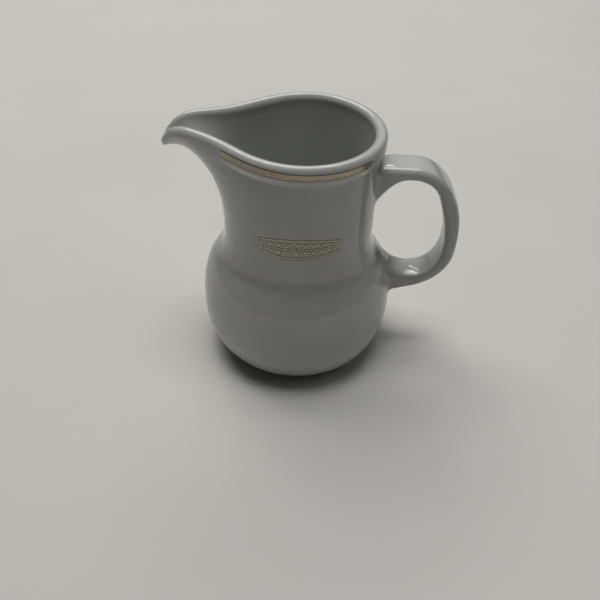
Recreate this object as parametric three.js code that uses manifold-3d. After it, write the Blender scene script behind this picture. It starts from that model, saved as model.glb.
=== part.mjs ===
// Porcelain cream jug: slip-cast body with a pulled pouring spout, a stuck-on strap handle,
// a fired gold line under the rim (in two arcs) and a gold emblem on the front of the neck.
// Millimetres, +Z up, the table at z = 0. The spout points along -X and the handle along +X.

import * as THREE from 'three';
import { mergeVertices } from 'three/addons/utils/BufferGeometryUtils.js';
import Module from 'manifold-3d';

const wasm = await Module();
wasm.setup();

// Driving sizes of the body
const RIM_HEIGHT = 100;
const BELLY_RADIUS = 39.5;
const BELLY_HEIGHT = 23;
const NECK_RADIUS = 29.5;
const NECK_START = 58;
const COLLAR_RADIUS = 31.2;
const COLLAR_START = 92;
const COLLAR_FULL = 95.5;
const BELLY_WALL = 3.3;
const NECK_WALL = 3.1;
const LIP_WALL = 4.6;
const LIP_WALL_START = 80;
const LIP_WALL_FULL = 97;
const FLOOR_HEIGHT = 5.2;
const FLOOR_RADIUS = 24;
const LIP_RISE = 2.1;
const LIP_HEIGHT = RIM_HEIGHT - LIP_RISE;
const NECK_LENGTH = LIP_HEIGHT - NECK_START;
const BORE_RADIUS = NECK_RADIUS - NECK_WALL;

// Foot ring
const FOOT_OUTER = 28.4;
const FOOT_INNER = 25.6;
const FOOT_CHAMFER = 0.6;
const FOOT_RECESS = 1.5;

// Spout: how far it is pulled out, how wide it is in degrees, and how late up the neck it sets in.
// The pull draws the neck's sides in (the pinch), and the tip dips like a beak.
const SPOUT_REACH = 21.4;
const SPOUT_HALF_ANGLE = 16.2;
const SPOUT_SPREAD = 28;
const SPOUT_POWER = 2.2;
const PULL_POWER = 3.1;
const PINCH = 2.8;
const PINCH_ANGLE = 49;
const PINCH_WIDTH = 36;
const TIP_DIP = 8.4;
const TIP_DIP_ANGLE = 7.1;
const TIP_DIP_POWER = 8;
const COLLAR_FADE_FROM = 15;
const COLLAR_FADE_TO = 60;

// Handle strap
const HANDLE_REACH = 62.5;
const HANDLE_WIDTH = 14;
const HANDLE_EDGE = 1.5;
const HANDLE_GAP = 0.35;

// Gold films
const FILM_GAP = 0.2;
const FILM_THICKNESS = 0.2;
const RIM_LINE_TOP = 97.8;
const RIM_LINE_WIDTH = 2;
const RIM_LINE_FROM = 32;
const RIM_LINE_TO = 144.5;
const EMBLEM_ANGLE = 92;
const EMBLEM_HALF_ANGLE = 33;
const EMBLEM_HEIGHT = 66.4;
const EMBLEM_LINE_WIDTH = 0.8;
const SPRIG_PAIRS = 9;
const SPRIG_PITCH = 3.2;
const LEAF_LONGEST = 3.5;
const LEAF_SHORTEST = 1.9;
const LEAF_WIDTH = 1.3;
const LEAF_TIP = 0.08;
const LEAF_BACK = 1.2;
const LEAF_TILT = THREE.MathUtils.degToRad(44);
const STEM_WIDTH = 0.6;

// The bounding box is centred on the origin, so the jug's own axis stands a little towards the spout
const SPOUT_TIP = NECK_RADIUS + SPOUT_REACH;
const AXIS_X = (SPOUT_TIP - HANDLE_REACH) / 2;

// Mesh resolution
const COLUMNS = 60;
const COLUMN_CROWDING = 1.7;
const WALL_STEPS = 6;
const NECK_STEPS = 13;
const NECK_CROWDING = 1.6;
const LIP_STEPS = 6;

const porcelain = new THREE.MeshStandardMaterial({ color: 0xd9dad4, roughness: 0.15, metalness: 0 });
const gold = new THREE.MeshStandardMaterial({ color: 0xb89a5e, roughness: 0.28, metalness: 1 });

const degrees = (angle) => Math.abs(THREE.MathUtils.radToDeg(angle));
const nose = (angle, halfAngle, power) => 1 / (1 + (degrees(angle) / halfAngle) ** power);
const bell = (angle, centre, width) => Math.exp(-(((degrees(angle) - centre) / width) ** 2));

// A round stretch of wall in the (radius, height) half plane
function bend(...points) {
  const [a, b, c, d] = points.map(([r, z]) => new THREE.Vector2(r, z));
  return new THREE.CubicBezierCurve(a, b, c, d).getPoints(WALL_STEPS);
}

// Radius a fraction k of the way up the neck, without the collar.
// Angles are measured about the jug's axis from the spout.
function pulledRadius(angle, k) {
  const halfAngle = SPOUT_HALF_ANGLE + SPOUT_SPREAD * (1 - k);
  const spout = SPOUT_REACH * nose(angle, halfAngle, SPOUT_POWER);
  return NECK_RADIUS + (spout - PINCH * bell(angle, PINCH_ANGLE, PINCH_WIDTH)) * k ** PULL_POWER;
}

function neckHeight(angle, k) {
  return NECK_START + NECK_LENGTH * k - TIP_DIP * bell(angle, 0, TIP_DIP_ANGLE) * k ** TIP_DIP_POWER;
}

const COLLAR_DEPTH = COLLAR_RADIUS - NECK_RADIUS;

function smoothHeight(k, from, to) {
  return THREE.MathUtils.smoothstep(NECK_START + NECK_LENGTH * k, from, to);
}

// The collar fades out towards the spout
function collarFade(angle) {
  return COLLAR_DEPTH * THREE.MathUtils.smoothstep(degrees(angle), COLLAR_FADE_FROM, COLLAR_FADE_TO);
}

function collarAt(angle, k) {
  return collarFade(angle) * smoothHeight(k, COLLAR_START, COLLAR_FULL);
}

function neckOutside(angle, k) {
  return pulledRadius(angle, k) + collarAt(angle, k);
}

// The wall thickens towards the lip; the collar swells outwards only, so the bore stays smooth
function wallThickness(angle, k) {
  const growth = smoothHeight(k, LIP_WALL_START, LIP_WALL_FULL);
  return NECK_WALL + (LIP_WALL - NECK_WALL - collarFade(angle)) * growth + collarAt(angle, k);
}

// Straight out of the neck's wall, and up along it, as (outward, sideways, up)
function wallDirections(angle, k) {
  const step = 1e-4;
  const radius = pulledRadius(angle, k);
  const sideways = (pulledRadius(angle + step, k) - pulledRadius(angle - step, k)) / (2 * step * radius);
  const upward = (radius - pulledRadius(angle, Math.max(k - step, 0))) / (step * NECK_LENGTH);
  return {
    out: new THREE.Vector3(1, -sideways, -upward).normalize(),
    along: new THREE.Vector3(upward, 0, 1).normalize(),
  };
}

// Fractions of the way up the neck, crowded together near the rim
const neckFractions = Array.from({ length: NECK_STEPS }, (_, i) => {
  const left = 1 - (i + 1) / NECK_STEPS;
  return 1 - left ** NECK_CROWDING;
});

// A point at an angle, moved sideways round the axis where the wall leans that way
function place(angle, radius, height, sideways = 0) {
  const x = -radius * Math.cos(angle) + sideways * Math.sin(angle);
  const y = -radius * Math.sin(angle) - sideways * Math.cos(angle);
  return new THREE.Vector3(x, y, height);
}

// From the middle of the underside, over the foot ring, up the belly and the neck to the lip
function outsideProfile(angle) {
  const crease = [33.4, 46];
  const foot = [FOOT_OUTER + FOOT_CHAMFER, 2 * FOOT_CHAMFER];
  return [
    new THREE.Vector2(0, FOOT_RECESS),
    new THREE.Vector2(FOOT_INNER - FOOT_RECESS, FOOT_RECESS),
    new THREE.Vector2(FOOT_INNER, 0),
    new THREE.Vector2(FOOT_OUTER, 0),
    ...bend(foot, [34.5, 2.2], [BELLY_RADIUS, 11], [BELLY_RADIUS, BELLY_HEIGHT]),
    ...bend([BELLY_RADIUS, BELLY_HEIGHT], [BELLY_RADIUS, 34], [37.9, 41.2], crease).slice(1),
    ...bend(crease, [31.3, 48.2], [NECK_RADIUS, 51.5], [NECK_RADIUS, NECK_START]).slice(1),
    ...neckFractions.map((k) => new THREE.Vector2(neckOutside(angle, k), neckHeight(angle, k))),
  ];
}

// Over the rolled lip, from its outer edge to its inner edge, and down the neck's inside
function lipAndBore(angle) {
  const wall = [0, ...neckFractions].reverse().map((k) => ({
    outer: new THREE.Vector3(neckOutside(angle, k), 0, neckHeight(angle, k)),
    thickness: wallThickness(angle, k),
    ...wallDirections(angle, k),
  }));
  const inner = wall.map(({ outer, thickness, out }) => outer.clone().addScaledVector(out, -thickness));
  const { outer, thickness, out, along } = wall[0];
  const middle = outer.clone().addScaledVector(out, -thickness / 2);
  const lip = Array.from({ length: LIP_STEPS - 1 }, (_, i) => {
    const turn = (Math.PI * (i + 1)) / LIP_STEPS;
    const point = middle.clone().addScaledVector(out, (thickness / 2) * Math.cos(turn));
    return point.addScaledVector(along, LIP_RISE * Math.sin(turn));
  });
  return [...lip, ...inner].map((point) => place(angle, point.x, point.z, point.y));
}

// Round the belly's inside to the middle of the floor
function bellyInside() {
  const shoulder = [31, 43.8];
  const belly = BELLY_RADIUS - BELLY_WALL;
  return [
    ...bend([BORE_RADIUS, NECK_START], [BORE_RADIUS, 51], [28.6, 46.4], shoulder).slice(1),
    ...bend(shoulder, [34.9, 39.9], [belly, 33.5], [belly, BELLY_HEIGHT]).slice(1),
    ...bend([belly, BELLY_HEIGHT], [belly, 12.5], [33, 5.6], [FLOOR_RADIUS, FLOOR_HEIGHT]).slice(1),
    new THREE.Vector2(0, FLOOR_HEIGHT),
  ];
}

// Closed mesh from rings of points: each section is a list of Vector3, joined to the next and wrapped round
function wrapSections(sections) {
  const rows = sections[0].length;
  const positions = sections.flat().flatMap((point) => point.toArray());
  const faces = [];
  sections.forEach((_, i) => {
    const next = (i + 1) % sections.length;
    for (let j = 0; j < rows - 1; j += 1) {
      const [a, b, c, d] = [i * rows + j, next * rows + j, next * rows + j + 1, i * rows + j + 1];
      faces.push(a, b, c, a, c, d);
    }
  });
  const geometry = new THREE.BufferGeometry();
  geometry.setAttribute('position', new THREE.Float32BufferAttribute(positions, 3));
  geometry.setIndex(faces);
  return clean(geometry);
}

// Merge shared points and drop the triangles that the merge flattens
function clean(geometry) {
  geometry.deleteAttribute('normal');
  geometry.deleteAttribute('uv');
  const merged = mergeVertices(geometry, 1e-4);
  const kept = [];
  const index = merged.index.array;
  for (let i = 0; i < index.length; i += 3) {
    const [a, b, c] = [index[i], index[i + 1], index[i + 2]];
    if (a !== b && b !== c && c !== a) {
      kept.push(a, b, c);
    }
  }
  merged.setIndex(kept);
  return merged;
}

function toSolid(geometry) {
  const mesh = new wasm.Mesh({
    numProp: 3,
    vertProperties: Float32Array.from(geometry.attributes.position.array),
    triVerts: Uint32Array.from(geometry.index.array),
  });
  return new wasm.Manifold(mesh);
}

function toGeometry(solid) {
  const mesh = solid.getMesh();
  const geometry = new THREE.BufferGeometry();
  geometry.setAttribute('position', new THREE.BufferAttribute(mesh.vertProperties, 3));
  geometry.setIndex(new THREE.BufferAttribute(mesh.triVerts, 1));
  return geometry;
}

// Angles about the axis from the spout, crowded together where the spout is narrow
const columnAngles = Array.from({ length: COLUMNS }, (_, i) => {
  const s = (2 * i) / COLUMNS - 1;
  return Math.PI * Math.sign(s) * Math.abs(s) ** COLUMN_CROWDING;
});

const turn = (profile, angle) => profile.map((point) => place(angle, point.x, point.y));

function jugBody() {
  const sections = columnAngles.map((angle) => {
    const outside = turn(outsideProfile(angle), angle);
    const inside = turn(bellyInside(), angle);
    return [...outside, ...lipAndBore(angle), ...inside];
  });
  return wrapSections(sections);
}

// The body's outside as a full solid, a little larger, which trims the ends of the handle
function bodyEnvelope() {
  const sections = columnAngles.map((angle) => {
    const wall = outsideProfile(angle).map((p) => new THREE.Vector2(p.x === 0 ? 0 : p.x + HANDLE_GAP, p.y));
    return turn([...wall, new THREE.Vector2(0, LIP_HEIGHT)], angle);
  });
  return wrapSections(sections);
}

// Side view of the strap: outer edge from the neck down to the belly, then the inner edge back up
function handleOutline() {
  const outline = new THREE.Shape();
  outline.moveTo(20, 86.8);
  outline.lineTo(29, 87.1);
  outline.bezierCurveTo(33, 87.5, 38, 87.7, 43, 87.6);
  outline.bezierCurveTo(51.5, 87.4, 57.5, 80, 60.6, 71.5);
  outline.bezierCurveTo(62.4, 66, HANDLE_REACH + 0.4, 58, 62.4, 51.5);
  outline.bezierCurveTo(61.8, 43, 55.8, 37.2, 49.5, 34.6);
  outline.bezierCurveTo(45, 32.8, 41, 31.9, 36.8, 30);
  outline.lineTo(22, 29);
  outline.lineTo(22, 49.5);
  outline.lineTo(30.4, 48);
  outline.bezierCurveTo(36, 45.4, 38.6, 39, 46, 39);
  outline.bezierCurveTo(54, 39, 58.1, 46.6, 58.1, 54.2);
  outline.bezierCurveTo(58.1, 61.5, 55.6, 70, 52.9, 76.2);
  outline.bezierCurveTo(50.2, 82.2, 45.6, 83.7, 41.2, 83.6);
  outline.bezierCurveTo(33.6, 83.4, 33.2, 76, 28.8, 71.6);
  outline.lineTo(20, 69);
  return outline;
}

function handle() {
  const strap = new THREE.ExtrudeGeometry(handleOutline(), {
    depth: HANDLE_WIDTH - 2 * HANDLE_EDGE,
    curveSegments: 8,
    bevelThickness: HANDLE_EDGE,
    bevelSize: HANDLE_EDGE,
    bevelOffset: -HANDLE_EDGE,
    bevelSegments: 3,
  });
  strap.rotateX(Math.PI / 2);
  strap.translate(0, HANDLE_WIDTH / 2 - HANDLE_EDGE, 0);
  const trimmed = toSolid(clean(strap)).subtract(toSolid(bodyEnvelope()));
  const pieces = trimmed.decompose().sort((a, b) => b.volume() - a.volume());
  return toGeometry(pieces[0]);
}

// A thin film that follows the neck: middle(angle) is its height, and it runs between two angles
function filmStrip(from, to, width, steps, middle) {
  const sections = [];
  for (let i = 0; i <= steps; i += 1) {
    const angle = THREE.MathUtils.degToRad(from + ((to - from) * i) / steps);
    const corner = (depth, rise) => {
      const height = middle(angle) + rise;
      const k = (height - NECK_START) / NECK_LENGTH;
      return place(angle, neckOutside(angle, k) + depth, height);
    };
    const [near, far] = [FILM_GAP, FILM_GAP + FILM_THICKNESS];
    const half = width / 2;
    sections.push([corner(near, -half), corner(near, half), corner(far, half), corner(far, -half)]);
  }
  return loft(sections);
}

// Closed solid through a row of rings, each a closed loop of points, with flat ends
function loft(rings) {
  const sides = rings[0].length;
  const positions = rings.flat().flatMap((point) => point.toArray());
  const faces = [];
  for (let i = 0; i < rings.length - 1; i += 1) {
    for (let j = 0; j < sides; j += 1) {
      const next = (j + 1) % sides;
      const [a, b, c, d] = [i * sides + j, i * sides + next, (i + 1) * sides + next, (i + 1) * sides + j];
      faces.push(a, b, c, a, c, d);
    }
  }
  const last = (rings.length - 1) * sides;
  for (let j = 1; j < sides - 1; j += 1) {
    faces.push(0, j + 1, j);
    faces.push(last, last + j, last + j + 1);
  }
  const geometry = new THREE.BufferGeometry();
  geometry.setAttribute('position', new THREE.Float32BufferAttribute(positions, 3));
  geometry.setIndex(faces);
  return geometry;
}

function rimLine(from, to) {
  return filmStrip(from, to, RIM_LINE_WIDTH, 24, () => RIM_LINE_TOP - RIM_LINE_WIDTH / 2);
}

// The emblem's two long lines bow away from each other, like the edges of a lens
function emblemLine(lift, bow) {
  const middle = (angle) => {
    const across = (THREE.MathUtils.radToDeg(angle) - EMBLEM_ANGLE) / EMBLEM_HALF_ANGLE;
    return EMBLEM_HEIGHT + lift + bow * (1 - across ** 2);
  };
  const from = EMBLEM_ANGLE - EMBLEM_HALF_ANGLE;
  return filmStrip(from, from + 2 * EMBLEM_HALF_ANGLE, EMBLEM_LINE_WIDTH, 12, middle);
}

// A pointed leaf laid on the neck, growing from a place on the stem, above it (side 1) or below it (-1)
function leafRings(angle, length, side) {
  const stations = [0, 0.2, 0.4, 0.6, 0.8, 1];
  return stations.map((t) => {
    const along = t * length;
    const half = LEAF_TIP + (LEAF_WIDTH / 2) * Math.sin(Math.PI * t);
    const corner = (depth, across) => {
      const sideways = along * Math.cos(LEAF_TILT) - side * across * Math.sin(LEAF_TILT);
      const up = side * along * Math.sin(LEAF_TILT) + across * Math.cos(LEAF_TILT);
      return place(angle + sideways / NECK_RADIUS, NECK_RADIUS + depth, EMBLEM_HEIGHT + up);
    };
    const [near, far] = [FILM_GAP, FILM_GAP + FILM_THICKNESS];
    return [corner(near, -half), corner(near, half), corner(far, half), corner(far, -half)];
  });
}

// Pairs of leaves on a stem; they are longest in the middle, where the emblem is tallest
function emblemSprig() {
  const reach = (SPRIG_PAIRS * SPRIG_PITCH) / 2 / NECK_RADIUS;
  const [from, to] = [-reach, reach].map((turn) => EMBLEM_ANGLE + THREE.MathUtils.radToDeg(turn));
  const stem = filmStrip(from, to, STEM_WIDTH, 12, () => EMBLEM_HEIGHT);
  const leaves = Array.from({ length: SPRIG_PAIRS }, (_, i) => {
    const across = (2 * i + 1) / SPRIG_PAIRS - 1;
    const length = LEAF_SHORTEST + (LEAF_LONGEST - LEAF_SHORTEST) * (1 - across ** 2);
    const angle = THREE.MathUtils.degToRad(EMBLEM_ANGLE) + across * reach - LEAF_BACK / NECK_RADIUS;
    return [1, -1].map((side) => toSolid(loft(leafRings(angle, length, side))));
  });
  return toGeometry(leaves.flat().reduce((all, leaf) => all.add(leaf), toSolid(stem)));
}

const jug = new THREE.Group();
jug.position.x = AXIS_X;

function addPiece(name, geometry, material) {
  geometry.computeVertexNormals();
  const mesh = new THREE.Mesh(geometry, material.clone());
  mesh.name = name;
  jug.add(mesh);
}

addPiece('jug_body', jugBody(), porcelain);
addPiece('handle', handle(), porcelain);
addPiece('gold_rim_line_front', rimLine(RIM_LINE_FROM, RIM_LINE_TO), gold);
addPiece('gold_rim_line_back', rimLine(-RIM_LINE_TO, -RIM_LINE_FROM), gold);
addPiece('emblem_upper_line', emblemLine(1.7, 2.2), gold);
addPiece('emblem_lower_line', emblemLine(-2, -1.9), gold);
addPiece('emblem_sprig', emblemSprig(), gold);

const creamJug = new THREE.Group();
creamJug.add(jug);

export default creamJug;
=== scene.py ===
"""Porcelain cream jug: the looks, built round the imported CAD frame.

The body, the handle and the gold films are fine meshes on the same curves as the CAD part. They
differ from it where pieces meet: the handle's ends run into the body with a fillet, and the gold
lies on the glaze with a narrow dark outline. Shape sizes are in millimetres about the jug's own
axis, as in the CAD source, and metres() turns them into the row frame. Angles about the axis are
in degrees from the spout, positive round the front (-Y).
"""

import math

import bpy
import numpy as np
from mathutils import Matrix, Vector


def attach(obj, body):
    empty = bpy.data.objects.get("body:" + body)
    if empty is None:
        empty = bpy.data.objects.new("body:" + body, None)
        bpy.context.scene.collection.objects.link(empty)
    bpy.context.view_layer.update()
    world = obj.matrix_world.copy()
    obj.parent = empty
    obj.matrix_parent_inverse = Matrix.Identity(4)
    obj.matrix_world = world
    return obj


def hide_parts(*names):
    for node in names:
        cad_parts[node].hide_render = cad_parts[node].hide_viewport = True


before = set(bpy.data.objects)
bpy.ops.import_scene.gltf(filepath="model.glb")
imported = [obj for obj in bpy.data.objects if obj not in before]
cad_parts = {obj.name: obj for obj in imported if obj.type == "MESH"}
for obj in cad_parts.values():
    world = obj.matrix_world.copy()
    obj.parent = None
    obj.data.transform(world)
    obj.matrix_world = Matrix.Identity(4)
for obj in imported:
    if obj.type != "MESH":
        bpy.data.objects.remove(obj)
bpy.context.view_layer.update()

# Driving sizes of the body, mm
RIM_HEIGHT = 100.0
BELLY_RADIUS = 39.5
BELLY_HEIGHT = 23.0
NECK_RADIUS = 29.5
NECK_START = 58.0
COLLAR_RADIUS = 31.2
COLLAR_START = 92.0
COLLAR_FULL = 95.5
BELLY_WALL = 3.3
NECK_WALL = 3.1
LIP_WALL = 4.6
LIP_WALL_START = 80.0
LIP_WALL_FULL = 97.0
FLOOR_HEIGHT = 5.2
FLOOR_RADIUS = 24.0
LIP_RISE = 2.1
LIP_HEIGHT = RIM_HEIGHT - LIP_RISE
BORE_RADIUS = NECK_RADIUS - NECK_WALL
NECK_LENGTH = LIP_HEIGHT - NECK_START

# Foot ring, mm
FOOT_OUTER = 28.4
FOOT_INNER = 25.6
FOOT_OUTER_EDGE = 0.5
FOOT_INNER_EDGE = 0.7
FOOT_CHAMFER = 0.6
FOOT_RECESS = 1.5
GLAZE_LINE = 0.9
GLAZE_LINE_BLUR = 0.15

# Spout: how far it is pulled out in mm, how wide in degrees, and how late up the neck (a power)
SPOUT_REACH = 21.4
SPOUT_HALF_ANGLE = 16.2
SPOUT_SPREAD = 28.0
SPOUT_POWER = 2.2
PULL_POWER = 3.1
PINCH = 2.8
PINCH_ANGLE = 49.0
PINCH_WIDTH = 36.0
TIP_DIP = 8.4
TIP_DIP_ANGLE = 7.1
TIP_DIP_POWER = 8.0
COLLAR_FADE = (15.0, 60.0)

# Handle strap, mm; the last three are the roundness of its edges as shares of its section
HANDLE_REACH = 62.5
HANDLE_HALF_WIDTH = 7.0
HANDLE_EDGE = 2.0
HANDLE_CROWN = 0.5
HANDLE_FILLET = 2.2
OUTER_EDGE_MOST = 0.92
INNER_EDGE = 0.8
INNER_EDGE_MOST = 0.94

# The strap's two edges in side view, from neck to belly: Bezier curves through (radius, height)
HANDLE_OUTER = [
    ((27.6, 86.9), (32.0, 87.4), (38.0, 87.7), (43.0, 87.6)),
    ((43.0, 87.6), (51.5, 87.4), (57.5, 80.0), (60.6, 71.5)),
    ((60.6, 71.5), (62.4, 66.0), (62.9, 58.0), (62.4, 51.5)),
    ((62.4, 51.5), (61.8, 43.0), (55.8, 37.2), (49.5, 34.6)),
    ((49.5, 34.6), (45.0, 32.8), (41.0, 31.9), (36.8, 30.0)),
]
HANDLE_INNER = [
    ((27.6, 70.6), (32.8, 75.4), (33.6, 83.4), (41.2, 83.6)),
    ((41.2, 83.6), (45.6, 83.7), (50.2, 82.2), (52.9, 76.2)),
    ((52.9, 76.2), (55.6, 70.0), (58.1, 61.5), (58.1, 54.2)),
    ((58.1, 54.2), (58.1, 46.6), (54.0, 39.0), (46.0, 39.0)),
    ((46.0, 39.0), (38.6, 39.0), (36.0, 45.4), (30.4, 48.0)),
]

# Gold films, mm and degrees. A taper is the length of a line's rounded end: in degrees on the rim
# line, and as a share of half the line on an emblem line. Each emblem line has a lift above the
# emblem's middle and a bow.
FILM_HEIGHT = 0.05
RIM_LINE_TOP = 97.8
RIM_LINE_WIDTH = 2.0
RIM_LINE_FROM = 32.0
RIM_LINE_TO = 144.5
RIM_LINE_TAPER = 1.2
EMBLEM_ANGLE = 92.0
EMBLEM_HALF_ANGLE = 33.0
EMBLEM_HEIGHT = 66.4
EMBLEM_LINE_WIDTH = 0.8
EMBLEM_LINE_TAPER = 0.06
EMBLEM_UPPER_LIFT = 1.7
EMBLEM_UPPER_BOW = 2.2
EMBLEM_LOWER_LIFT = -2.0
EMBLEM_LOWER_BOW = -1.9
OUTLINE = 0.2
OUTLINE_FADE = (0.18, 0.28)
SCORCH_FROM = 132.0
SCORCH_TO = 138.0
SPRIG_PAIRS = 9
SPRIG_PITCH = 3.2
LEAF_LONGEST = 3.5
LEAF_SHORTEST = 1.9
LEAF_WIDTH = 1.3
LEAF_TIP = 0.08
LEAF_BACK = 1.2
LEAF_TILT = 44.0
STEM_WIDTH = 0.6

# A film's section: places across it from edge to edge, and how far each stands off the glaze
ACROSS = np.array([-1.0, -0.98, -0.8, -0.4, 0.0, 0.4, 0.8, 0.98, 1.0])
LIFT = FILM_HEIGHT * np.array([-0.4, 0.6, 1.0, 1.0, 1.0, 1.0, 1.0, 0.6, -0.4])

# Mesh density; across PAINTED_LIGHT_ROWS the outside glaze gives way to the inside's lighter
# colour, painted light for the light that falls in through the mouth
BODY_COLUMNS = 264
NECK_ROWS = 64
LIP_ROWS = 26
PAINTED_LIGHT_ROWS = 6
FLOOR_ROWS = 12
CENTRE_RADIUS = 1.0
RIM_LINE_STATIONS = 240
EMBLEM_STATIONS = 120
STEM_STATIONS = 90
LEAF_STATIONS = 12
FILLET_HALVINGS = 24

# Colours, linear
GLAZE_DARK = (0.452, 0.459, 0.430)
GLAZE_LIGHT = (0.484, 0.489, 0.457)
# The inside is painted lighter, standing in for the light that falls in through the mouth
GLAZE_INSIDE_PAINTED_LIGHT = (0.590, 0.600, 0.560)
GLAZE_SPECK = (0.20, 0.18, 0.15)
BISQUE_DARK = (0.42, 0.40, 0.36)
BISQUE_LIGHT = (0.58, 0.56, 0.51)
GOLD_WORN = (0.35, 0.315, 0.24)
GOLD_BRIGHT = (0.42, 0.375, 0.29)
GOLD_OUTLINE = (0.085, 0.07, 0.055)
GOLD_SCORCHED = (0.03, 0.027, 0.025)
TABLE_DARK = (0.700, 0.673, 0.627)
TABLE_LIGHT = (0.730, 0.703, 0.656)

# The frame's box is centred on its origin, so the jug's own axis stands a little towards the spout
AXIS_X = (NECK_RADIUS + SPOUT_REACH - HANDLE_REACH) / 2

# Camera: its place in mm about the jug's axis, its turn in degrees, its lens and sensor in mm
CAMERA_PLACE = (11.1, -212.1, 205.2)
CAMERA_PITCH = 41.6
CAMERA_YAW = 2.55
CAMERA_ROLL = 1.9
CAMERA_LENS = 38.4
CAMERA_SENSOR = 36.0

# Stage: its sizes in metres, and how strongly the room itself shines
TABLE_HALF_WIDTH = 3.0
JUG_MIDDLE = (0.0, 0.0, 0.05)
ROOM_LIGHT = 0.01


def metres(points):
    """Points in mm about the jug's axis, as metres in the row frame."""
    moved = np.asarray(points, float) + [AXIS_X, 0.0, 0.0]
    return moved * 0.001


def place(angle, radius, height, sideways=0.0):
    """Points at an angle from the spout, a radius and a height, moved sideways round the axis."""
    turn = np.radians(angle)
    x = -radius * np.cos(turn) + sideways * np.sin(turn)
    y = -radius * np.sin(turn) - sideways * np.cos(turn)
    return np.stack(np.broadcast_arrays(x, y, height), -1)


def curve(points, steps):
    """A cubic Bezier curve through steps + 1 places, from four control points."""
    a, b, c, d = (np.array(p, float) for p in points)
    t = np.linspace(0.0, 1.0, steps + 1)[:, None]
    return (1 - t) ** 3 * a + 3 * (1 - t) ** 2 * t * b + 3 * (1 - t) * t**2 * c + t**3 * d


def corner(centre, radius, start, end, steps=6):
    """A rounded corner of a profile, between two angles in degrees."""
    turn = np.radians(np.linspace(start, end, steps + 1))
    return np.array(centre) + radius * np.stack([np.cos(turn), np.sin(turn)], -1)


def nose(angle, half_angle, power):
    """1 at the spout, falling to a half at half_angle; a higher power squares the shoulders."""
    return 1.0 / (1.0 + (np.abs(angle) / half_angle) ** power)


def bell(angle, centre, width):
    """1 at an angle to either side of the spout, fading over a width."""
    return np.exp(-(((np.abs(angle) - centre) / width) ** 2))


def smooth(x, low, high):
    """0 below low, 1 above high and an even step between."""
    t = np.clip((x - low) / (high - low), 0.0, 1.0)
    return t * t * (3 - 2 * t)


def pulled_radius(angle, k):
    """Radius a fraction k of the way up the neck: the pull draws the spout out and the sides in."""
    half_angle = SPOUT_HALF_ANGLE + SPOUT_SPREAD * (1 - k)
    spout = SPOUT_REACH * nose(angle, half_angle, SPOUT_POWER)
    pinch = PINCH * bell(angle, PINCH_ANGLE, PINCH_WIDTH)
    return NECK_RADIUS + (spout - pinch) * k**PULL_POWER


def neck_height(angle, k):
    """Height a fraction k of the way up the neck: the spout's tip dips like a beak."""
    dip = TIP_DIP * bell(angle, 0.0, TIP_DIP_ANGLE) * k**TIP_DIP_POWER
    return NECK_START + NECK_LENGTH * k - dip


def smooth_height(k, low, high):
    """A smooth step between two heights on the neck."""
    return smooth(NECK_START + NECK_LENGTH * k, low, high)


def collar_fade(angle):
    """The collar's full depth, which fades out towards the spout."""
    return (COLLAR_RADIUS - NECK_RADIUS) * smooth(np.abs(angle), *COLLAR_FADE)


def collar_at(angle, k):
    """The collar's depth at a height on the neck."""
    return collar_fade(angle) * smooth_height(k, COLLAR_START, COLLAR_FULL)


def neck_outside(angle, k):
    """Outer radius of the neck with its collar."""
    return pulled_radius(angle, k) + collar_at(angle, k)


def wall_directions(angle, k):
    """Straight out of the neck's wall, and up along it, each as (outward, sideways, up)."""
    step = 0.001
    radius = pulled_radius(angle, k)
    growth = pulled_radius(angle + step, k) - pulled_radius(angle - step, k)
    sideways = growth / np.radians(2 * step) / radius
    upward = (radius - pulled_radius(angle, k - step)) / (step * NECK_LENGTH)
    ones = np.ones_like(radius)
    out = np.stack([ones, -sideways, -upward], -1)
    along = np.stack([upward, 0 * ones, ones], -1)
    return [v / np.linalg.norm(v, axis=-1, keepdims=True) for v in (out, along)]


def wall_thickness(angle, k):
    """The wall thickens towards the lip; the collar swells outwards only, so the bore is smooth."""
    growth = smooth_height(k, LIP_WALL_START, LIP_WALL_FULL)
    return NECK_WALL + (LIP_WALL - NECK_WALL - collar_fade(angle)) * growth + collar_at(angle, k)


def belly_outside():
    """Radius and height from the foot ring's edge up to the start of the neck."""
    foot = (FOOT_OUTER + FOOT_CHAMFER, 2 * FOOT_CHAMFER)
    widest = (BELLY_RADIUS, BELLY_HEIGHT)
    crease = (33.4, 46.0)
    neck = (NECK_RADIUS, NECK_START)
    lower = curve((foot, (34.5, 2.2), (BELLY_RADIUS, 11.0), widest), steps=36)
    upper = curve((widest, (BELLY_RADIUS, 34.0), (37.9, 41.2), crease), steps=32)
    hollow = curve((crease, (31.3, 48.2), (NECK_RADIUS, 51.5), neck), steps=24)
    return np.concatenate([lower, upper[1:], hollow[1:]])


def belly_inside():
    """Radius and height from the bore down round the belly to the floor."""
    radius = BELLY_RADIUS - BELLY_WALL
    bore = (BORE_RADIUS, NECK_START)
    shoulder = (31.0, 43.8)
    widest = (radius, BELLY_HEIGHT)
    floor = (FLOOR_RADIUS, FLOOR_HEIGHT)
    hollow = curve((bore, (BORE_RADIUS, 51.0), (28.6, 46.4), shoulder), steps=20)
    upper = curve((shoulder, (34.9, 39.9), (radius, 33.5), widest), steps=24)
    lower = curve((widest, (radius, 12.5), (33.0, 5.6), floor), steps=28)
    return np.concatenate([hollow, upper[1:], lower[1:]])


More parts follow.
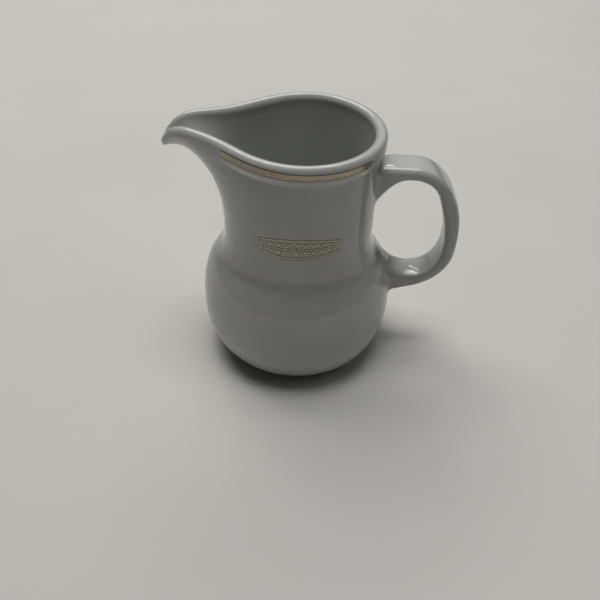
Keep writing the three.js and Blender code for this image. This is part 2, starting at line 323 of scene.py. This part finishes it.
def underside():
    """Radius and height from near the middle of the underside out over the foot ring."""
    reach = FOOT_INNER - FOOT_RECESS - 1.0
    recess = [(r, FOOT_RECESS) for r in np.linspace(CENTRE_RADIUS, reach, 14)]
    inner = corner((FOOT_INNER - 0.3, FOOT_INNER_EDGE), FOOT_INNER_EDGE, 180, 270)
    bend = ((FOOT_INNER - 1.2, FOOT_RECESS), (FOOT_INNER - 1.0, 1.2))
    fillet = curve((recess[-1], *bend, inner[0]), steps=6)
    outer = corner((FOOT_OUTER, FOOT_OUTER_EDGE), FOOT_OUTER_EDGE, 270, 345)
    return np.concatenate([recess, fillet[1:-1], inner, outer])


BELLY = belly_outside()


def add_mesh(name, vertices, faces, material):
    """A smooth piece that rides on the jug's one body."""
    mesh = bpy.data.meshes.new(name)
    mesh.from_pydata(metres(vertices).tolist(), [], faces)
    mesh.update()
    mesh.polygons.foreach_set("use_smooth", [True] * len(mesh.polygons))
    mesh.materials.append(material)
    piece = bpy.data.objects.new(name, mesh)
    bpy.context.scene.collection.objects.link(piece)
    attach(piece, "root")
    return piece


def add_value(piece, name, values):
    """A number at each point of a piece, for its material to read."""
    piece.data.attributes.new(name, "FLOAT", "POINT").data.foreach_set("value", values)


def grid_faces(columns, rows, closed):
    """Quads of a grid of points stored column by column, closed round its columns or open."""
    faces = []
    for i in range(columns if closed else columns - 1):
        near = i * rows
        far = (i + 1) % columns * rows
        faces += [[near + j, far + j, far + j + 1, near + j + 1] for j in range(rows - 1)]
    return faces


def body_columns(crowding=1.5):
    """Angles about the axis, crowded together where the spout is narrow."""
    s = np.arange(BODY_COLUMNS) * 2.0 / BODY_COLUMNS - 1.0
    return 180.0 * np.sign(s) * np.abs(s) ** crowding


def neck_column(angle):
    """One column of points up the outside of the neck, over the rolled lip and down the inside."""
    k = (np.arange(NECK_ROWS) + 1.0) / NECK_ROWS
    outer = np.stack([neck_outside(angle, k), 0 * k, neck_height(angle, k)], -1)
    out, along = wall_directions(angle, k)
    thickness = wall_thickness(angle, k)[:, None]
    inner = outer - thickness * out
    turn = np.radians(np.arange(1, LIP_ROWS) * 180.0 / LIP_ROWS)[:, None]
    half = thickness[-1] / 2
    middle = outer[-1] - half * out[-1]
    lip = middle + half * np.cos(turn) * out[-1] + LIP_RISE * np.sin(turn) * along[-1]
    column = np.concatenate([outer, lip, inner[::-1]])
    return place(angle, column[:, 0], column[:, 2], column[:, 1])


def make_body(material):
    """The vessel as one closed skin: underside, outside, over the lip, inside, floor."""
    angles = body_columns()
    below = np.concatenate([underside(), BELLY])
    floor_radii = np.linspace(FLOOR_RADIUS - 2.0, CENTRE_RADIUS, FLOOR_ROWS)
    floor = np.array([(r, FLOOR_HEIGHT) for r in floor_radii])
    inside = np.concatenate([belly_inside(), floor])
    columns = []
    for angle in angles:
        start, end = (place(angle, part[:, 0], part[:, 1]) for part in (below, inside))
        columns.append(np.concatenate([start, neck_column(angle), end]))
    rows = len(columns[0])
    faces = grid_faces(len(angles), rows, closed=True)
    under_centre = len(angles) * rows
    floor_centre = under_centre + 1
    centres = [(0.0, 0.0, FOOT_RECESS), (0.0, 0.0, FLOOR_HEIGHT)]
    for i in range(len(angles)):
        near = i * rows
        far = (i + 1) % len(angles) * rows
        faces.append([under_centre, far, near])
        faces.append([floor_centre, near + rows - 1, far + rows - 1])
    piece = add_mesh("jug_body_glazed", np.concatenate([*columns, centres]), faces, material)
    # The inside rows are painted lighter, for the light that falls in through the mouth
    first_inside = rows - len(inside) - NECK_ROWS
    painted_inside_light = smooth(np.arange(rows), first_inside, first_inside + PAINTED_LIGHT_ROWS)
    add_value(piece, "painted_inside_light", np.concatenate([np.tile(painted_inside_light, len(angles)), [0.0, 1.0]]))
    return piece


def handle_edges(fine=64, coarse=26):
    """The strap's outer and inner edge in side view, paired station by station."""
    steps = [fine, coarse, coarse, coarse, fine]
    lines = []
    for edge in (HANDLE_OUTER, HANDLE_INNER):
        pieces = [curve(points, count)[:-1] for points, count in zip(edge, steps)]
        lines.append(np.concatenate(pieces + [[edge[-1][-1]]]))
    return lines


def strap_section(half_height, arc=8, flats=(14, 6)):
    """Rounded section of the strap: points across and up, and their outward normals.

    The taller the strap grows towards its roots, the rounder the edges of its inner face.
    """
    outer_edge = min(HANDLE_EDGE, half_height * OUTER_EDGE_MOST)
    inner_edge = min(half_height * INNER_EDGE, HANDLE_HALF_WIDTH * INNER_EDGE_MOST)
    corners = [(1, 1, outer_edge), (-1, 1, outer_edge), (-1, -1, inner_edge), (1, -1, inner_edge)]
    arcs = []
    for quadrant, (across, up, radius) in enumerate(corners):
        turn = np.radians(np.linspace(0, 90, arc + 1) + 90 * quadrant)
        direction = np.stack([np.cos(turn), np.sin(turn)], -1)
        centre = np.array([across * (HANDLE_HALF_WIDTH - radius), up * (half_height - radius)])
        arcs.append((centre + radius * direction, direction))
    points = []
    normals = []
    for quadrant, (bend, direction) in enumerate(arcs):
        following = arcs[(quadrant + 1) % 4][0][0]
        count = flats[quadrant % 2]
        t = (np.arange(count) + 1.0)[:, None] / (count + 1)
        points += [bend, bend[-1] + t * (following - bend[-1])]
        normals += [direction, np.repeat(direction[-1:], count, 0)]
    points = np.concatenate(points)
    normals = np.concatenate(normals)
    crown = HANDLE_CROWN * (1 - np.clip(points[:, 0] / HANDLE_HALF_WIDTH, -1, 1) ** 2)
    points[:, 1] += crown * normals[:, 1]
    return points, normals


def outside_profile(angle, steps=120):
    """Radius and height up the outside of the body at one angle."""
    k = (np.arange(steps) + 1.0) / steps
    neck = np.stack([neck_outside(angle, k), neck_height(angle, k)], -1)
    return np.concatenate([BELLY, neck])


def distance_to_body(points, profile):
    """Distance of each point outside the body, less than zero inside it."""
    flat = np.stack([np.hypot(points[:, 0], points[:, 1]), points[:, 2]], -1)
    start, end = profile[:-1], profile[1:]
    along = end - start
    offset = flat[:, None] - start[None]
    t = np.clip((offset * along).sum(-1) / (along**2).sum(-1), 0.0, 1.0)
    nearest = np.linalg.norm(offset - t[..., None] * along, axis=-1).min(1)
    outside = flat[:, 0] > np.interp(flat[:, 1], profile[:, 1], profile[:, 0])
    return np.where(outside, nearest, -nearest)


def blend_into_body(points, normals):
    """Push the strap's surface out along its normals where it nears the body, as a round fillet.

    The push is found by halving its range again and again.
    """
    profile = outside_profile(180.0)
    low = np.zeros(len(points))
    high = np.full(len(points), HANDLE_FILLET)
    for _ in range(FILLET_HALVINGS):
        push = (low + high) / 2
        gap = distance_to_body(points + push[:, None] * normals, profile)
        overlap = np.clip(HANDLE_FILLET - np.abs(gap - push), 0.0, None)
        joined = np.minimum(gap, push) - overlap**2 / (4 * HANDLE_FILLET)
        low = np.where(joined < 0, push, low)
        high = np.where(joined < 0, high, push)
    return points + ((low + high) / 2)[:, None] * normals


def make_handle(material):
    """The strap as one closed skin, its ends buried in the body's wall."""
    rings = []
    leans = []
    for outer, inner in zip(*handle_edges()):
        up = (outer - inner) / np.linalg.norm(outer - inner)
        points, normals = strap_section(np.linalg.norm(outer - inner) / 2)
        middle = (outer + inner) / 2
        reach = middle[0] + up[0] * points[:, 1]
        height = middle[1] + up[1] * points[:, 1]
        rings.append(np.stack([reach, points[:, 0], height], -1))
        leans.append(np.stack([up[0] * normals[:, 1], normals[:, 0], up[1] * normals[:, 1]], -1))
    rows = len(rings[0])
    last = (len(rings) - 1) * rows
    faces = []
    for near in range(0, last, rows):
        far = near + rows
        for j in range(rows):
            following = (j + 1) % rows
            faces.append([near + j, near + following, far + following, far + j])
    faces.append(list(range(rows))[::-1])
    faces.append(list(range(last, last + rows)))
    vertices = blend_into_body(np.concatenate(rings), np.concatenate(leans))
    return add_mesh("handle_glazed", vertices, faces, material)


def film_strip(angles, heights, margins):
    """A strip of gold laid on the neck, from grids of angles, heights and margins to its edge."""
    k = (heights - NECK_START) / NECK_LENGTH
    radius = np.stack([neck_outside(a, b) for a, b in zip(angles, k)]) + LIFT
    return place(angles, radius, heights), margins


def line_strip(angles, middle, width):
    """A strip that runs round the neck, its middle height and width given at each angle."""
    half = (width / 2 + OUTLINE)[:, None]
    heights = middle[:, None] + ACROSS * half
    return film_strip(angles[:, None] + 0 * ACROSS, heights, (1 - np.abs(ACROSS)) * half)


def leaf_strip(angle, length, side):
    """A pointed leaf growing from the stem, above it (side 1) or below it (side -1)."""
    t = np.linspace(0.0, 1.0, LEAF_STATIONS + 1)[:, None]
    half = LEAF_TIP + LEAF_WIDTH / 2 * np.sin(np.pi * t) + OUTLINE * t
    over = half * ACROSS
    along = t * length
    tilt = math.radians(LEAF_TILT)
    sideways = along * math.cos(tilt) - side * over * math.sin(tilt)
    rise = along * math.sin(tilt) + STEM_WIDTH / 2
    heights = EMBLEM_HEIGHT + side * rise + over * math.cos(tilt)
    turned = angle + np.degrees(sideways / NECK_RADIUS)
    return film_strip(turned, heights, (1 - np.abs(ACROSS)) * half)


def make_film(name, strips, material, scorched=0.0):
    """One gold piece from its strips; scorched tells where the gold has gone dark in the kiln."""
    vertices = []
    faces = []
    margins = []
    start = 0
    for points, margin in strips:
        quads = grid_faces(len(points), len(ACROSS), closed=False)
        faces += [[start + point for point in quad] for quad in quads]
        vertices.append(points.reshape(-1, 3))
        margins.append(margin.ravel())
        start += len(vertices[-1])
    vertices = np.concatenate(vertices)
    piece = add_mesh(name, vertices, faces, material)
    add_value(piece, "margin", np.concatenate(margins))
    add_value(piece, "scorched", scorched + np.zeros(len(vertices)))
    return piece


def rounded_end(share):
    """Width of a line near its end, from how far into its taper it has run; never quite zero."""
    return np.sqrt(np.clip(share, 0.02, 1.0))


def make_rim_line(name, start, end, material):
    """One arc of the line under the rim, between two angles."""
    angles = np.linspace(start, end, RIM_LINE_STATIONS)
    from_end = np.minimum(np.abs(angles - start), np.abs(angles - end))
    width = RIM_LINE_WIDTH * rounded_end(from_end / RIM_LINE_TAPER)
    middle = np.full(len(angles), RIM_LINE_TOP - RIM_LINE_WIDTH / 2)
    scorched = np.repeat(smooth(angles, SCORCH_FROM, SCORCH_TO), len(ACROSS))
    return make_film(name, [line_strip(angles, middle, width)], material, scorched)


def make_emblem_line(name, lift, bow, material):
    """One of the emblem's two bowed lines."""
    reach = np.linspace(-EMBLEM_HALF_ANGLE, EMBLEM_HALF_ANGLE, EMBLEM_STATIONS)
    angles = EMBLEM_ANGLE + reach
    across = (angles - EMBLEM_ANGLE) / EMBLEM_HALF_ANGLE
    middle = EMBLEM_HEIGHT + lift + bow * (1 - across**2)
    width = EMBLEM_LINE_WIDTH * rounded_end((1 - np.abs(across)) / EMBLEM_LINE_TAPER)
    return make_film(name, [line_strip(angles, middle, width)], material)


def make_sprig(name, material):
    """Pairs of leaves on a stem; they are longest in the middle, where the emblem is tallest."""
    reach = math.degrees(SPRIG_PAIRS * SPRIG_PITCH / 2 / NECK_RADIUS)
    angles = EMBLEM_ANGLE + np.linspace(-reach, reach, STEM_STATIONS)
    middle = np.full(STEM_STATIONS, EMBLEM_HEIGHT)
    width = np.full(STEM_STATIONS, STEM_WIDTH)
    strips = [line_strip(angles, middle, width)]
    for across in (2 * np.arange(SPRIG_PAIRS) + 1) / SPRIG_PAIRS - 1:
        length = LEAF_SHORTEST + (LEAF_LONGEST - LEAF_SHORTEST) * (1 - across**2)
        angle = EMBLEM_ANGLE + across * reach - math.degrees(LEAF_BACK / NECK_RADIUS)
        strips += [leaf_strip(angle, length, side) for side in (1, -1)]
    return make_film(name, strips, material)


def grey(value):
    """A neutral colour, or a plain value where a ramp or a mix wants a colour."""
    return (value, value, value)


def new_material(name):
    """A material, its node tree, its shader, and the coordinates of the piece it is on."""
    material = bpy.data.materials.new(name)
    material.use_nodes = True
    tree = material.node_tree
    where = tree.nodes.new("ShaderNodeTexCoord").outputs["Object"]
    return material, tree, tree.nodes["Principled BSDF"], where


def attribute(tree, name):
    """A number that add_value gave each point of the piece."""
    node = tree.nodes.new("ShaderNodeAttribute")
    node.attribute_name = name
    return node.outputs["Fac"]


def noise(tree, where, scale, detail, roughness=0.5):
    """Noise through the piece, its scale in cells per metre."""
    node = tree.nodes.new("ShaderNodeTexNoise")
    node.inputs["Scale"].default_value = scale
    node.inputs["Detail"].default_value = detail
    node.inputs["Roughness"].default_value = roughness
    tree.links.new(where, node.inputs["Vector"])
    return node.outputs["Fac"]


def ramp(tree, value, low, high):
    """A colour that runs between two stops of a value, each stop given as (place, colour)."""
    node = tree.nodes.new("ShaderNodeValToRGB")
    for element, (stop, colour) in zip(node.color_ramp.elements, (low, high)):
        element.position = stop
        element.color = (*colour, 1.0)
    tree.links.new(value, node.inputs["Fac"])
    return node.outputs["Color"]


def mix(tree, factor, first, second):
    """Blend from a linked colour towards another, linked or plain."""
    node = tree.nodes.new("ShaderNodeMix")
    node.data_type = "RGBA"
    tree.links.new(factor, node.inputs["Factor"])
    tree.links.new(first, node.inputs["A"])
    if isinstance(second, tuple):
        node.inputs["B"].default_value = (*second, 1.0)
    else:
        tree.links.new(second, node.inputs["B"])
    return node.outputs["Result"]


def bare_foot(tree, where):
    """1 on the ground foot ring below the glaze line, 0 above it."""
    split = tree.nodes.new("ShaderNodeSeparateXYZ")
    tree.links.new(where, split.inputs["Vector"])
    bare = tree.nodes.new("ShaderNodeMapRange")
    bare.inputs["From Min"].default_value = GLAZE_LINE * 0.001
    bare.inputs["From Max"].default_value = (GLAZE_LINE - GLAZE_LINE_BLUR) * 0.001
    tree.links.new(split.outputs["Z"], bare.inputs["Value"])
    return bare.outputs["Result"]


def glaze(name, foot):
    """Clear gloss glaze over porcelain; with foot, the foot ring is bare and the inside painted
    lighter for the light that falls into it.
    """
    material, tree, shader, where = new_material(name)
    cloud = noise(tree, where, scale=38.0, detail=4.0, roughness=0.55)
    colour = ramp(tree, cloud, (0.3, GLAZE_DARK), (0.7, GLAZE_LIGHT))
    if foot:
        # Painted light: the inside takes its lighter colour for the light falling into the jug
        colour = mix(tree, attribute(tree, "painted_inside_light"), colour, GLAZE_INSIDE_PAINTED_LIGHT)
    speck = noise(tree, where, scale=900.0, detail=1.0)
    dots = ramp(tree, speck, (0.815, grey(0.0)), (0.83, grey(1.0)))
    colour = mix(tree, dots, colour, GLAZE_SPECK)
    rough = ramp(tree, cloud, (0.3, grey(0.07)), (0.75, grey(0.12)))
    if foot:
        bare = bare_foot(tree, where)
        grit = noise(tree, where, scale=2500.0, detail=2.0)
        bisque = ramp(tree, grit, (0.35, BISQUE_DARK), (0.6, BISQUE_LIGHT))
        colour = mix(tree, bare, colour, bisque)
        rough = mix(tree, bare, rough, grey(0.75))
    ripple = noise(tree, where, scale=160.0, detail=2.0)
    bump = tree.nodes.new("ShaderNodeBump")
    bump.inputs["Strength"].default_value = 0.035
    bump.inputs["Distance"].default_value = 0.0004
    tree.links.new(ripple, bump.inputs["Height"])
    tree.links.new(bump.outputs["Normal"], shader.inputs["Normal"])
    tree.links.new(colour, shader.inputs["Base Color"])
    tree.links.new(rough, shader.inputs["Roughness"])
    shader.inputs["IOR"].default_value = 1.5
    return material


def fired_gold():
    """Dull fired gold, darker along its edges, gone dark where it was scorched."""
    material, tree, shader, where = new_material("fired_gold")
    wear = noise(tree, where, scale=900.0, detail=3.0, roughness=0.6)
    colour = ramp(tree, wear, (0.35, GOLD_WORN), (0.6, GOLD_BRIGHT))
    dark_to, clear_from = OUTLINE_FADE
    outline = ramp(tree, attribute(tree, "margin"), (dark_to, grey(1.0)), (clear_from, grey(0.0)))
    colour = mix(tree, outline, colour, GOLD_OUTLINE)
    flakes = noise(tree, where, scale=1300.0, detail=2.0)
    burnt = ramp(tree, flakes, (0.45, grey(1.0)), (0.56, grey(0.1)))
    dark = tree.nodes.new("ShaderNodeMath")
    dark.operation = "MULTIPLY"
    tree.links.new(attribute(tree, "scorched"), dark.inputs[0])
    tree.links.new(burnt, dark.inputs[1])
    colour = mix(tree, dark.outputs["Value"], colour, GOLD_SCORCHED)
    rough = ramp(tree, wear, (0.35, grey(0.42)), (0.65, grey(0.30)))
    tree.links.new(colour, shader.inputs["Base Color"])
    tree.links.new(rough, shader.inputs["Roughness"])
    shader.inputs["Metallic"].default_value = 1.0
    return material


body_glaze = glaze("porcelain_body", foot=True)
handle_glaze = glaze("porcelain_handle", foot=False)
gold = fired_gold()

body = make_body(body_glaze)
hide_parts("jug_body")

handle = make_handle(handle_glaze)
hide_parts("handle")

gold_films = {
    "gold_rim_line_front": make_rim_line("rim_line_front", RIM_LINE_FROM, RIM_LINE_TO, gold),
    "gold_rim_line_back": make_rim_line("rim_line_back", -RIM_LINE_TO, -RIM_LINE_FROM, gold),
    "emblem_upper_line": make_emblem_line(
        "emblem_line_upper", EMBLEM_UPPER_LIFT, EMBLEM_UPPER_BOW, gold
    ),
    "emblem_lower_line": make_emblem_line(
        "emblem_line_lower", EMBLEM_LOWER_LIFT, EMBLEM_LOWER_BOW, gold
    ),
    "emblem_sprig": make_sprig("emblem_leaf_sprig", gold),
}
for node, piece in gold_films.items():
    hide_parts(node)


def make_floor():
    """The pale matt table top that the jug stands on."""
    mesh = bpy.data.meshes.new("table_top")
    half = TABLE_HALF_WIDTH
    corners = [(-half, -half, 0), (half, -half, 0), (half, half, 0), (-half, half, 0)]
    mesh.from_pydata(corners, [], [[0, 1, 2, 3]])
    floor = bpy.data.objects.new("table_top", mesh)
    bpy.context.scene.collection.objects.link(floor)
    material, tree, shader, where = new_material("table_top")
    cloud = noise(tree, where, scale=9.0, detail=4.0)
    paper = ramp(tree, cloud, (0.3, TABLE_DARK), (0.7, TABLE_LIGHT))
    tree.links.new(paper, shader.inputs["Base Color"])
    shader.inputs["Roughness"].default_value = 0.7
    shader.inputs["Specular IOR Level"].default_value = 0.1
    mesh.materials.append(material)


def add_light(name, at, size, power, target=JUG_MIDDLE, mirrored=False, lights=True):
    """A soft rectangular light: mirrored shows it in reflections, lights lets it shade the jug."""
    light = bpy.data.lights.new(name, "AREA")
    light.shape = "RECTANGLE"
    light.size, light.size_y = size
    light.energy = power
    lamp = bpy.data.objects.new(name, light)
    bpy.context.scene.collection.objects.link(lamp)
    lamp.location = at
    lamp.rotation_euler = (Vector(target) - Vector(at)).to_track_quat("-Z", "Y").to_euler()
    lamp.visible_glossy = mirrored
    lamp.visible_diffuse = lights


def add_camera():
    """The camera, turned by its yaw, then its pitch, then its roll."""
    pitch = math.radians(CAMERA_PITCH)
    turn = Matrix.Rotation(math.radians(CAMERA_YAW), 3, "Z")
    forward = turn @ Vector((0.0, math.cos(pitch), -math.sin(pitch)))
    level_right = turn @ Vector((1.0, 0.0, 0.0))
    level_up = turn @ Vector((0.0, math.sin(pitch), math.cos(pitch)))
    roll = math.radians(CAMERA_ROLL)
    right = math.cos(roll) * level_right + math.sin(roll) * level_up
    up = math.cos(roll) * level_up - math.sin(roll) * level_right
    rotation = Matrix((right, up, -forward)).transposed()
    data = bpy.data.cameras.new("camera")
    data.lens = CAMERA_LENS
    data.sensor_width = CAMERA_SENSOR
    data.clip_start = 0.01
    camera = bpy.data.objects.new("camera", data)
    bpy.context.scene.collection.objects.link(camera)
    camera.matrix_world = Matrix.Translation(metres([CAMERA_PLACE])[0]) @ rotation.to_4x4()
    bpy.context.scene.camera = camera


make_floor()

# Soft panels that shade the jug and aren't seen in its glaze: place, size and power
add_light("overhead", (0.0, 0.1, 1.9), (0.8, 0.8), 14.5, target=(0.0, 0.1, 0.0))
add_light("back_left", (-0.8, 0.9, 1.8), (1.0, 1.0), 11.5)
add_light("right", (1.3, -0.2, 1.7), (1.0, 1.0), 1.6)
add_light("back", (0.0, 1.5, 1.2), (1.6, 1.0), 3.5)

# Panels seen only in the glaze: three nested ones make a sheen with a soft edge
add_light("back_sheen_core", (0.0, 1.7, 1.5), (2.0, 1.1), 2.3, mirrored=True, lights=False)
add_light("back_sheen_middle", (0.0, 1.71, 1.51), (3.4, 1.9), 6.7, mirrored=True, lights=False)
add_light("back_sheen_edge", (0.0, 1.72, 1.52), (5.0, 2.7), 14.0, mirrored=True, lights=False)
add_light("lip_sheen", (-0.17, 0.98, 1.78), (1.5, 1.15), 19.0, mirrored=True, lights=False)

# Two ceiling tubes, seen and shading
add_light("tube_low", (-0.32, 1.52, 1.31), (0.9, 0.08), 1.5, mirrored=True)
add_light("tube_high", (-0.29, 1.36, 1.49), (0.9, 0.08), 1.5, mirrored=True)
add_camera()

world = bpy.data.worlds.new("room")
world.use_nodes = True
background = world.node_tree.nodes["Background"]
background.inputs["Color"].default_value = (1.0, 1.0, 1.0, 1.0)
background.inputs["Strength"].default_value = ROOM_LIGHT
bpy.context.scene.world = world
bpy.context.scene.view_settings.view_transform = "Standard"
